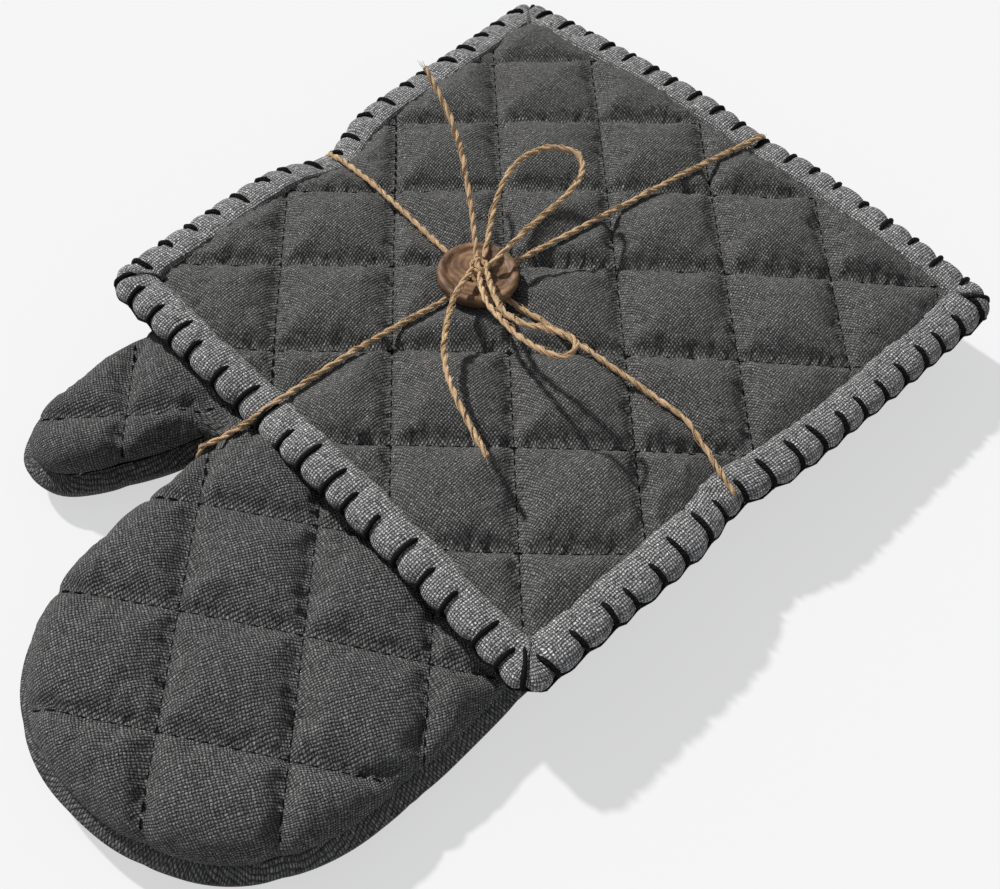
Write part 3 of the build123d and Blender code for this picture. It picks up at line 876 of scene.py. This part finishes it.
# ---- lining ----------------------------------------------------------------------------------------
HAND_POCKET = [(66, 137), (68, -61), (66, -108), (58, -130), (42, -143), (24, -147), (4, -144),
               (-13, -134), (-23.5, -113), (-27.5, -88), (-29, -60), (-62, -50), (-66, 137)]
THUMB_POCKET = [(-44, -50), (-56, -70), (-62, -84), (-70, -88.5), (-75, -84), (-76, -68), (-74, -50)]


POCKET_Z = 12.75         # the middle height of the space for the hand
# the height of each row round a lining bag, and how far it lies in from the widest row
POCKET_ROWS = ((16.4, 7.0), (15.9, 3.0), (14.4, 0.6), (POCKET_Z, 0.0), (11.1, 0.6), (9.6, 3.0), (9.1, 7.0))


def pocket(name, corners, open_end):
    """A flattened lining bag with its two skins joined round the edge, open at the cuff."""
    if open_end:
        loop = resample(np.array(corners, float), 6.0)
    else:
        loop = resample(np.array(corners + [corners[0]], float), 6.0)[:-1]
    pieces = Pieces()
    toward = np.array(corners, float).mean(axis=0) - loop
    toward[:, 1] *= 0 if open_end else 1
    toward /= np.linalg.norm(toward, axis=1)[:, None] + 1e-9
    rows = [[(*(p + w * shrink), z) for p, w in zip(loop, toward)] for z, shrink in POCKET_ROWS]
    rows = np.array(rows)
    pieces.grid(rows, rows[..., :2], closed_v=not open_end)
    for row in (rows[0], rows[-1]):
        base = len(pieces.points)
        net, faces = triangles(row[:, :2], np.zeros((0, 2)))
        pieces.points.extend([(x, y, row[0][2]) for x, y in net])
        pieces.flat.extend(net)
        pieces.faces.extend(tuple(base + i for i in f) for f in faces)
    return pieces.made(name, LINING)


hand_lining = pocket("hand_lining", HAND_POCKET, True)
thumb_lining = pocket("thumb_lining", THUMB_POCKET, False)
bend_hand(hand_lining)
bend_thumb(thumb_lining)
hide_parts("hand_back_lining", "hand_palm_lining", "fingers_back_lining", "fingers_palm_lining")
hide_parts("thumb_back_lining", "thumb_palm_lining")


# ---- cuff binding ------------------------------------------------------------------------------------
def cuff_ring(y, count=240):
    """The mitt's outer section and the mouth's section at one place along the cuff."""
    t = np.linspace(0, 2 * math.pi, count, endpoint=False)
    # the two straight sides of the mitt, from MITT_POINTS
    left, right_side = -88 + 16 * (y + 45) / 225, 80 - 4 * (y + 61) / 241
    mid, half = (left + right_side) / 2, (right_side - left) / 2
    x = mid + half * np.sign(np.cos(t)) * np.abs(np.cos(t)) ** 0.72
    gap = np.clip(half - np.abs(x - mid), 0, None)
    rise = np.sin(np.arccos(1 - np.clip(gap / EDGE_TOP_R, 0, 1))) * (MITT_TOP_Z - SEAM_Z - x * x / SAG)
    fall = np.sin(np.arccos(1 - np.clip(gap / EDGE_LOW_R, 0, 1))) * SEAM_Z
    z = SEAM_Z + np.where(np.sin(t) >= 0, rise, -fall)
    inner_x = mid + (half - 10.0) * np.cos(t) * (1 - 0.06 * np.cos(t) ** 2)
    inner_z = POCKET_Z + 3.6 * np.sign(np.sin(t)) * np.abs(np.sin(t)) ** 0.6
    level = np.full(count, y)
    return np.stack([x, level, z], axis=1), np.stack([inner_x, level, inner_z], axis=1)


ring_rows, ring_flat = [], []
outer_ring, _ = cuff_ring(CUFF_Y)
around = run_along(outer_ring)
ring_length = around[-1] + np.linalg.norm(outer_ring[0] - outer_ring[-1])
leg_count = int(round(ring_length / STITCH_PITCH))
to_leg = (around / ring_length * leg_count + 0.5) % 1 - 0.5
dent = np.exp(-(to_leg * STITCH_PITCH / 1.7) ** 2)
# how far each row lies back from the mouth, its share of the way in to the lining, and its swell
for back, share, lift in ((12.5, 0, -0.9), (12.2, 0, 0.5), (9, 0, 1.0), (5, 0, 1.0), (2.4, 0.02, 0.8),
                          (0.9, 0.08, 0.2), (0.2, 0.22, 0.0), (0.0, 0.5, 0.0), (0.2, 0.78, 0.0),
                          (0.9, 0.93, 0.0), (2.4, 0.98, 0.0), (6, 1, 0.0), (12, 1, 0.0)):
    outer, inner = cuff_ring(CUFF_Y - back)
    centre = np.array([1.0, CUFF_Y - back, SEAM_Z])
    way = outer - centre
    way[:, 0] *= 0.12
    way /= np.linalg.norm(way, axis=1)[:, None] + 1e-9
    push = lift - dent * (0.8 if back < 9 and share < 0.5 else 0)
    row = outer * (1 - share) + inner * share + way * np.asarray(push)[:, None] * (1 - share)
    row[:, 2] = np.clip(row[:, 2], 0.15, None)
    ring_rows.append(row)
    ring_flat.append(np.stack([around, np.full(len(around), 20 - back + share * 20)], axis=1))
binding_piece = Pieces()
binding_piece.grid(ring_rows, ring_flat, closed_v=True)
cuff_band = binding_piece.made("cuff_binding_band", BINDING)
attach(cuff_band, "hand")
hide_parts("cuff_binding")

cuff_thread = Pieces()
edge_line = []
for k in range(leg_count):
    i = int(np.abs(around - (k / leg_count) * ring_length).argmin())
    # a leg lies on the band's rows 2 to 6 and ends at the mouth, on row 7
    leg = [ring_rows[j][i] + (0, 0, 0.35 * np.sign(ring_rows[j][i][2] - SEAM_Z)) for j in range(2, 7)]
    leg.append(ring_rows[7][i] + (0, 0.3, 0))
    leg[0] = leg[0] - (0, 0, 0.9 * np.sign(leg[0][2] - SEAM_Z))
    for point in leg:
        point[2] = max(point[2], 0.8)
    cuff_thread.tube(resample(rounded(leg, 2.0), 1.0), 0.75, sides=7)
    edge_line.append(leg[-1] + (0, 0.1, 0))
edge_line = np.array(edge_line + [edge_line[0]])
cuff_thread.tube(resample(edge_line, 2.0), 0.7, sides=7)
cuff_stitches = cuff_thread.made("cuff_stitching", STITCH)
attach(cuff_stitches, "hand")
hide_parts("cuff_blanket_stitch")


# ---- pot holder ----------------------------------------------------------------------------------------
def holder_ring(inset, step):
    """The holder's outline moved in, with round corners, at steady steps."""
    corners = [np.array(c, float) for c in HOLDER_CORNERS]
    moved = []
    for before, here, after in zip(corners[-1:] + corners[:-1], corners, corners[1:] + corners[:1]):
        a = (here - before) / np.linalg.norm(here - before)
        b = (after - here) / np.linalg.norm(after - here)
        na, nb = np.array([-a[1], a[0]]), np.array([-b[1], b[0]])
        moved.append(here + (na + nb) * inset / (1 + na @ nb))
    start = (moved[0] + moved[1]) / 2
    radius = max(1.2, 8.5 - inset)
    return resample(rounded([start, moved[1], moved[2], moved[3], moved[0], start], radius, 0.49), step)


panel_loop = holder_ring(9.5, 2.0)[:-1]


def holder_net():
    """The flat layout of the holder's panel with its triangles: quilting lines, and a net between."""
    net = spread(panel_loop)
    places = on_lines(HOLDER_LINES, panel_loop, panel_loop, True, SPACING * 0.55, 400)
    gap, _ = edge_gap(net, panel_loop, True)
    places.append(net[(gap > SPACING * 0.6) & (line_gap(net, HOLDER_LINES)[0] > SPACING * 0.62)])
    return triangles(panel_loop, np.vstack(places))


flat_holder, holder_faces = holder_net()
holder_d, _ = edge_gap(flat_holder, panel_loop, True)
holder_q, _ = line_gap(flat_holder, HOLDER_LINES)
hx, hy = flat_holder[:, 0], flat_holder[:, 1]
middle_z = HOLDER_MIDDLE_Z - holder_drop(hx, hy)
puff = 1 - 0.6 * np.exp(-(holder_q / 2.2) ** 1.4) - 0.4 * (1 - np.clip(holder_q / 14, 0, 1)) ** 2
edge_rise = smooth(holder_d, 0, 11)
top_z = middle_z + 2.3 + 3.4 * edge_rise * puff - 1.6 * edge_rise * (1 - puff)
holder_top = np.stack([hx, hy, top_z], axis=1)
held = np.where((holder_q < 0.35) | (holder_d < 0.6), 1.0, 0.0)
holder_top = settle(holder_top, holder_faces, held)
holder_top = creased(holder_top, np.minimum(holder_q, holder_d), 0.6, 8.6)
button_gap = np.hypot(holder_top[:, 0] - BUTTON_CENTRE[0], holder_top[:, 1] - BUTTON_CENTRE[1])
holder_top[:, 2] = np.minimum(holder_top[:, 2], 36.2 + 0.35 * np.maximum(button_gap - 11, 0))
for route, low in ((lengthwise, 34.5), (crosswise, 30.5)):
    for run in runs_between(route, low, 38.0):
        holder_top = pressed(holder_top, run, 1.5, 0.5)
holder_top = pinched(holder_top)
holder_back = np.stack([hx, hy, middle_z - 2.2 - 2.2 * edge_rise * (0.3 + 0.7 * puff)], axis=1)
holder_back[:, 2] = np.maximum(holder_back[:, 2], 26.7 - hx ** 2 / SAG)
holder_back = pinched(holder_back)
top_cover = mesh_object("holder_top_quilted", holder_top, holder_faces, flat_holder, HOLDER_COVER)
back_cover = mesh_object("holder_back_quilted", holder_back, holder_faces, flat_holder, HOLDER_COVER,
                         flip=True)
for piece, nodes in ((top_cover, ("holder_top_cover", "holder_batting")),
                     (back_cover, ("holder_back_cover",))):
    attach(piece, "hand")
    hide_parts(*nodes)
holder_tree = tree_of(holder_top, holder_faces)
sewn = dashes(holder_tree, HOLDER_LINES, holder_ring(13.0, 4.0)[:-1], lambda p: p[:, 0] > -1e3,
              radius=0.34, sunk=0.12)
sewn = sewn.made("holder_quilting", QUILTING)
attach(sewn, "hand")
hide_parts("holder_quilting_thread")

# binding: the profile runs from the top fold over the edge to the fold beneath
PROFILE = [(12.6, 1.9), (12.3, 3.3), (11.4, 4.0), (9.5, 4.3), (7.0, 4.4), (4.8, 4.3), (3.0, 3.9),
           (1.6, 3.2), (0.6, 2.1), (0.1, 0.9), (0.0, 0.0), (0.1, -0.9), (0.6, -2.0), (1.6, -3.0),
           (3.2, -3.6), (6.5, -3.9), (11.0, -3.8), (12.3, -3.4), (12.6, -2.0)]
EDGE_ROW = 10            # the row of the profile that is the edge itself
edge = holder_ring(0.0, 1.25)[:-1]
edge_run = run_along(edge)
edge_total = edge_run[-1] + np.linalg.norm(edge[0] - edge[-1])
holder_legs = int(round(edge_total / STITCH_PITCH))
tangent = np.roll(edge, -1, axis=0) - np.roll(edge, 1, axis=0)
tangent /= np.linalg.norm(tangent, axis=1)[:, None]
inward = np.stack([-tangent[:, 1], tangent[:, 0]], axis=1)
leg_shift = rng.uniform(-0.11, 0.11, holder_legs)
leg_length = rng.uniform(0.0, 2.4, holder_legs)
leg_number = np.round(edge_run / edge_total * holder_legs).astype(int) % holder_legs
to_leg = (edge_run / edge_total * holder_legs + 0.5) % 1 - 0.5 - leg_shift[leg_number]
corner_at = [int(np.hypot(*(edge - corner).T).argmin()) for corner in HOLDER_CORNERS]
corner_gaps = np.array([np.abs((edge_run - edge_run[k] + edge_total / 2) % edge_total - edge_total / 2)
                        for k in corner_at])
corner_gap = corner_gaps.min(axis=0)
MITRE = 11               # how far from a corner along the edge its mitre is felt
slow = np.interp(edge_run, np.arange(0, edge_total + 12, 12), rng.uniform(-1, 1, int(edge_total / 12) + 2))
quickly = np.interp(edge_run, np.arange(0, edge_total + 4, 4), rng.uniform(-1, 1, int(edge_total / 4) + 2))


def inset_point(i, reach):
    """The point a distance in from the holder's edge: along the mitre at a corner."""
    moved = edge[i] + inward[i] * reach
    if corner_gap[i] < MITRE:
        k = corner_at[int(corner_gaps[:, i].argmin())]
        corner = edge[k] + inward[k] * reach * 1.32
        blend_in = (1 - corner_gap[i] / MITRE) ** 0.6 * smooth(reach, 1, 9)
        moved = moved * (1 - blend_in) + corner * blend_in
    return moved


def band_point(i, reach, rise):
    """One point of the binding, pulled in and down beside each stitch."""
    leg = math.exp(-(to_leg[i] * STITCH_PITCH / 1.5) ** 2) * (1 - float(smooth(reach, 8.0, 11.0)))
    wave = math.cos(2 * math.pi * to_leg[i] + math.pi)
    swell = (0.30 + 0.12 * slow[i]) * wave * (1 - float(smooth(reach, 8.5, 11.5)))
    uneven = (slow[i] * 0.7 + quickly[i] * 0.25) * float(smooth(reach, 8, 12))
    near_edge = 1 - float(smooth(reach, 0.5, 4.0))
    wide = reach + uneven + leg * 0.9 * near_edge - swell * 0.8 * near_edge
    x, y = inset_point(i, wide)
    full = np.sign(rise) * (swell * 0.8 - leg * 0.75) * float(smooth(abs(rise), 0.5, 3.0))
    mitre = 0.8 * math.exp(-(corner_gap[i] / 1.3) ** 2) * float(smooth(reach, 2, 6))
    z = HOLDER_MIDDLE_Z - float(holder_drop(x, y)) + rise + full - np.sign(rise) * mitre
    z += (slow[i] * 0.3 + quickly[i] * 0.12) * float(smooth(reach, 2, 8)) * np.sign(rise)
    return x, y, z


rows = np.array([[band_point(i, reach, rise) for i in range(len(edge))] for reach, rise in PROFILE])
across_run = np.r_[0, np.cumsum([math.hypot(b[0] - a[0], b[1] - a[1]) for a, b in zip(PROFILE, PROFILE[1:])])]
rows = pinched(rows)
flat = np.stack(np.broadcast_arrays(edge_run[None, :], across_run[:, None]), axis=2)
band = Pieces()
band.grid(rows, flat, closed_v=True)
holder_band = band.made("holder_binding_band", BINDING, flip=True)
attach(holder_band, "hand")
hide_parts("holder_binding")

blanket = Pieces()
edge_points = []
for k in range(holder_legs):
    i = int(np.abs(edge_run - (k + leg_shift[k]) / holder_legs * edge_total).argmin())
    j_end = 3 + int(leg_length[k] > 1.2)
    top_leg = [rows[j][i] for j in range(j_end, EDGE_ROW + 1)]
    lifted = []
    for n, point in enumerate(top_leg):
        out = -np.array([*inward[i], 0.0])
        lifted.append(np.array(point) + out * 0.6 * float(n > 3) + (0, 0, 0.75 if n < 6 else 0.1))
    lifted[0] = lifted[0] - (0, 0, 1.5)
    skew = tangent[i] * rng.uniform(-1.6, 0.8)
    lifted = [p + (*(skew * (1 - n / len(lifted))), 0) for n, p in enumerate(lifted)]
    blanket.tube(resample(lifted, 0.9), 0.8, sides=8)
    low_leg = [rows[j][i] + (0, 0, -0.45 if j > 12 else -0.1) for j in range(EDGE_ROW, 17)]
    low_leg = [p - np.array([*inward[i], 0.0]) * 0.4 * float(n < 4) for n, p in enumerate(low_leg)]
    low_leg[-1] = low_leg[-1] + (0, 0, 1.1)
    blanket.tube(resample(low_leg, 0.9), 0.78, sides=8)
    edge_points.append(lifted[-1])
loop_line = []
for a, b, k in zip(edge_points, edge_points[1:] + edge_points[:1], range(holder_legs)):
    i0 = int(np.abs(edge_run - (k + 0.5) / holder_legs * edge_total).argmin())
    mid = rows[12][i0] - np.array([*inward[i0], 0.0]) * 0.25 + (0, 0, rng.uniform(-0.3, 0.3))
    loop_line += [a, mid]
loop_line.append(loop_line[0])
blanket.tube(resample(loop_line, 1.6), 0.6, sides=7)
stitches = blanket.made("holder_stitching", STITCH)
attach(stitches, "hand")
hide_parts("holder_blanket_stitch")

# ---- button --------------------------------------------------------------------------------------------
BUTTON_HIGH = 42.2       # the top of the rim
BUTTON_THICK, BUTTON_DISH = 4.0, 0.95
FACE_R = 9.4             # radius of the flat of the face, inside the raised rim
HOLE_R = 1.25
BUTTON_HOLES = [(-14.9, 24.7), (-13.6, 32.7)]
BUTTON_RIM = [(FACE_R, -BUTTON_DISH), (10.0, -0.8), (10.5, -0.35), (11.0, -0.05), (11.6, 0.0), (12.3, -0.1),
              (12.8, -0.5), (13.0, -1.2), (13.0, -2.4), (12.7, -3.3), (12.0, -3.8), (11.0, -BUTTON_THICK),
              (FACE_R, -BUTTON_THICK)]
RIM_SIDES, HOLE_SIDES = 72, 20


def circle(radius, sides, middle=(0.0, 0.0)):
    """Places round a circle."""
    turn = np.linspace(0, 2 * math.pi, sides, endpoint=False)
    return [(middle[0] + radius * math.cos(a), middle[1] + radius * math.sin(a)) for a in turn]


def button_wall(pieces, rings, slope=1.0):
    """A wall through rings of places, given as (ring, height) pairs; slope spreads its grain."""
    rows = [[(x, y, BUTTON_HIGH + z) for x, y in ring] for ring, z in rings]
    flat = [[(p[0], p[1] + (p[2] - BUTTON_HIGH) * slope) for p in row] for row in rows]
    pieces.grid(rows, flat, closed_v=True)


def button_face(pieces, holes, z, up):
    """The dished face or the flat back, with its two holes."""
    places = circle(FACE_R, RIM_SIDES)
    edges = [(i, (i + 1) % RIM_SIDES) for i in range(RIM_SIDES)]
    for hole in holes:
        base = len(places)
        edges += [(base + i, base + (i + 1) % HOLE_SIDES) for i in range(HOLE_SIDES)]
        places += circle(HOLE_R, HOLE_SIDES, hole)
    places += [(x, y) for x in np.arange(-9, 9.1, 1.5) for y in np.arange(-9, 9.1, 1.5)
               if math.hypot(x, y) < 8.6 and all(math.hypot(x - h[0], y - h[1]) > 2.0 for h in holes)]
    net, _, faces, *_ = delaunay_2d_cdt([Vector(p) for p in places], edges, [], 1, 1e-5)
    base = len(pieces.points)
    pieces.points.extend([(p[0], p[1], BUTTON_HIGH + z) for p in net])
    pieces.flat.extend([p[:] for p in net])
    for face in faces:
        middle = np.mean([net[i][:] for i in face], axis=0)
        if all(np.linalg.norm(middle - hole) > 1.2 for hole in holes):
            pieces.faces.append(tuple(base + i for i in (face if up else reversed(face))))


def button_mesh():
    """A turned disc: dished face, raised round rim, rounded edge, flat back and two drilled holes."""
    pieces = Pieces()
    holes = [np.array(hole) - BUTTON_CENTRE for hole in BUTTON_HOLES]
    button_wall(pieces, [(circle(r, RIM_SIDES), z) for r, z in BUTTON_RIM], 0.8)
    button_face(pieces, holes, -BUTTON_DISH, True)
    button_face(pieces, holes, -BUTTON_THICK, False)
    for hole in holes:
        ring = circle(HOLE_R, HOLE_SIDES, hole)
        button_wall(pieces, [(ring, z) for z in (-BUTTON_DISH, -2.5, -BUTTON_THICK)])
    pieces.points = [(p[0] + BUTTON_CENTRE[0], p[1] + BUTTON_CENTRE[1], p[2]) for p in pieces.points]
    return pieces.made("turned_button", WOOD)


button = button_mesh()
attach(button, "hand")
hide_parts("wooden_button")


# ---- twine round the set, and the knot -------------------------------------------------------------------
def over_holder(line):
    """The part of a wrap that lies on the holder, pulled in with it where it crosses an edge."""
    moved = resample(line, 0.75)
    above = smooth(moved[:, 2], 12, 26)[:, None]
    return moved * (1 - above) + pinched(moved) * above


for name, node, route in (("lengthwise_wrap", "twine_wrap_lengthwise", lengthwise),
                          ("crosswise_wrap", "twine_wrap_crosswise", crosswise)):
    made, _ = twine_piece(name, over_holder(route), hairs=0.4)
    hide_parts(node)
KNOT_AT = (-14.0, 28.9, 44.0)


def knot_turn(tilt, spin, size):
    """One closed turn of twine in the knot."""
    t = np.linspace(0, 2 * math.pi, 40)
    x, y = size * np.cos(t), size * 0.85 * np.sin(t) * math.cos(tilt)
    z = 1.5 * np.sin(t) * math.sin(tilt) + 0.5 * np.cos(2 * t)
    c, s = math.cos(spin), math.sin(spin)
    return np.stack([c * x - s * y, s * x + c * y, z], axis=1) + KNOT_AT


for k, turn in enumerate(((0.35, 0.3, 2.5), (-0.5, 1.4, 2.7), (1.1, 2.4, 2.3))):
    made, _ = twine_piece(f"knot_turn_{k + 1}", knot_turn(*turn), hairs=0.15)
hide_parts("twine_knot")

# ---- floor and light ---------------------------------------------------------------------------------------
floor_mesh = bpy.data.meshes.new("floor")
FLOOR_HALF, FLOOR_Z = 6.0, -0.0003         # in metres
floor_corners = [(x * FLOOR_HALF, y * FLOOR_HALF, FLOOR_Z) for x, y in ((-1, -1), (1, -1), (1, 1), (-1, 1))]
floor_mesh.from_pydata(floor_corners, [], [(0, 1, 2, 3)])
floor = bpy.data.objects.new("floor", floor_mesh)
bpy.context.scene.collection.objects.link(floor)
# the paper glows a little, so that the shadows on it stay as pale as in the photo
paper = Nodes("floor")
paper.surface((0.24, 0.241, 0.246), 0.9, specular=0.0)
paper.shader.inputs["Emission Color"].default_value = (1.0, 1.0, 1.0, 1)
paper.shader.inputs["Emission Strength"].default_value = 0.60
floor_mesh.materials.append(paper.material)

sun = bpy.data.objects.new("sun", bpy.data.lights.new("sun", "SUN"))
bpy.context.scene.collection.objects.link(sun)
sun.data.energy = 4.5
sun.data.angle = math.radians(3.0)
sun.data.color = (1.0, 0.985, 0.96)
sun.rotation_mode = "QUATERNION"
SUN_WAY = Vector((0.70, 0.0, -0.70))
sun.rotation_quaternion = SUN_WAY.to_track_quat("-Z", "Y")
world = bpy.data.worlds.new("world")
bpy.context.scene.world = world
world.use_nodes = True
sky = world.node_tree.nodes["Background"]
sky.inputs["Color"].default_value = (0.94, 0.96, 1.0, 1)
sky.inputs["Strength"].default_value = 0.34
bpy.context.scene.view_settings.view_transform = "Standard"
